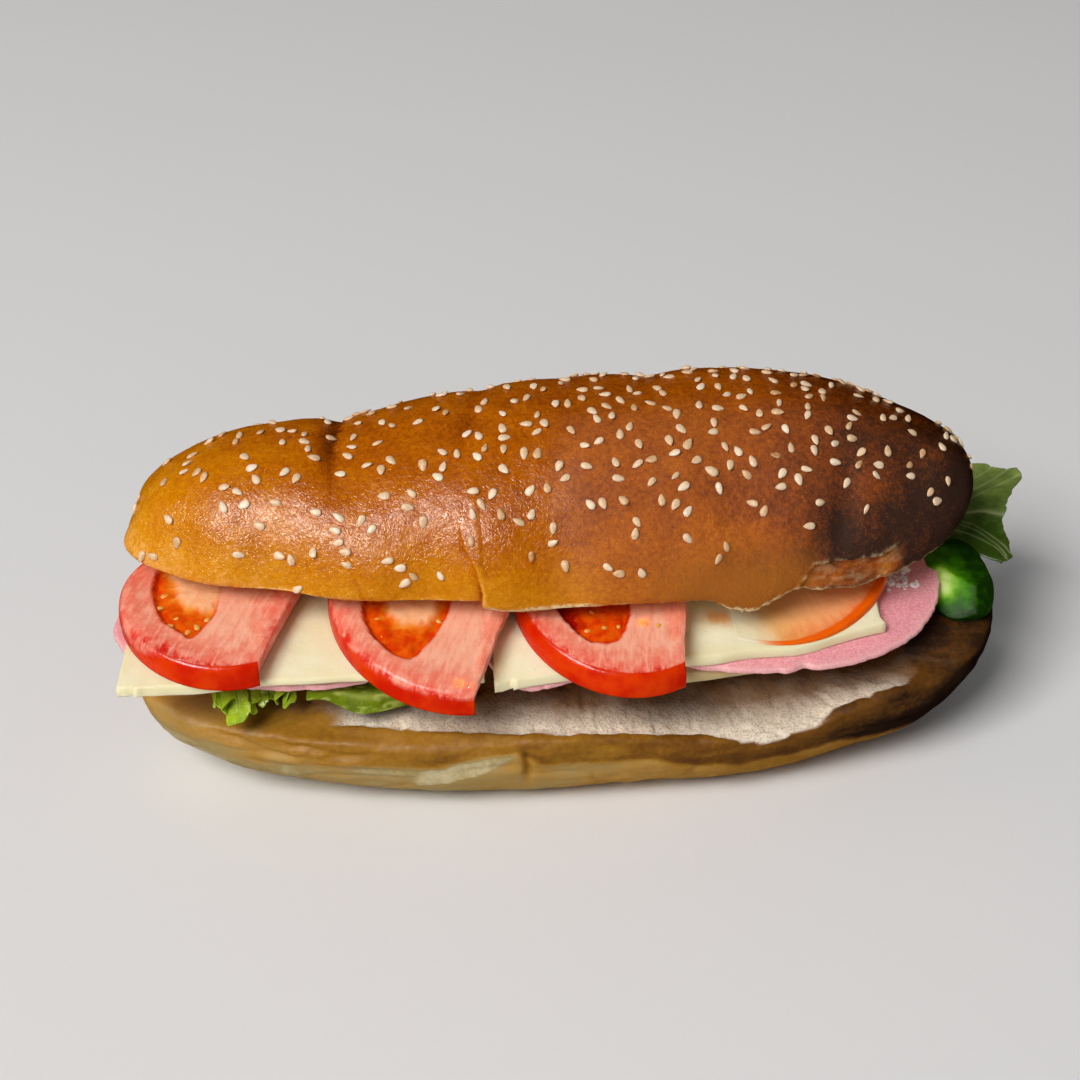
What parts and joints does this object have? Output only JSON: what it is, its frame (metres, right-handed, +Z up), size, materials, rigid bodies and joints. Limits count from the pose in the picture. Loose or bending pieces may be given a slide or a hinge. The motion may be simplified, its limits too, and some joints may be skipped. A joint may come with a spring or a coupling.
{
  "type": "salami and cheese sandwich",
  "caption": "Long oval sesame roll cut lengthwise and filled with lettuce, salami slices, cheese slices and tomato slices, with a cucumber end and a leaf showing at one end.",
  "frame": {"origin": "on the flat underside of the heel, near its middle", "axes": "+X along the roll towards the end with the cucumber and the leaf, +Y towards the closed back of the sandwich, +Z up"},
  "size_m": [0.2261, 0.0854, 0.0866],
  "materials": {
    "bread": "golden-brown baked crust with a soft egg-wash gloss; the cut faces are pale open crumb",
    "tomato": "wet cut tomato flesh with a smooth red skin",
    "cheese": "smooth pale semi-hard cheese, slightly translucent",
    "salami": "fine pink sliced sausage, slightly moist",
    "lettuce": "thin green leaf with pale veins",
    "cucumber": "wet dark green skin, pale green flesh on the cut"
  },
  "bodies": {
    "root": {"bun_heel": "bread", "bun_crown": "bread", "tomato_1": "tomato", "tomato_2": "tomato", "tomato_3": "tomato", "tomato_4": "tomato", "cheese_left": "cheese", "cheese_right": "cheese", "cheese_low": "cheese", "salami_left": "salami", "salami_middle": "salami", "salami_right": "salami", "lettuce_frill": "lettuce", "lettuce_fold": "lettuce", "lettuce_end": "lettuce", "cucumber_end": "cucumber"}
  },
  "joints": []
}
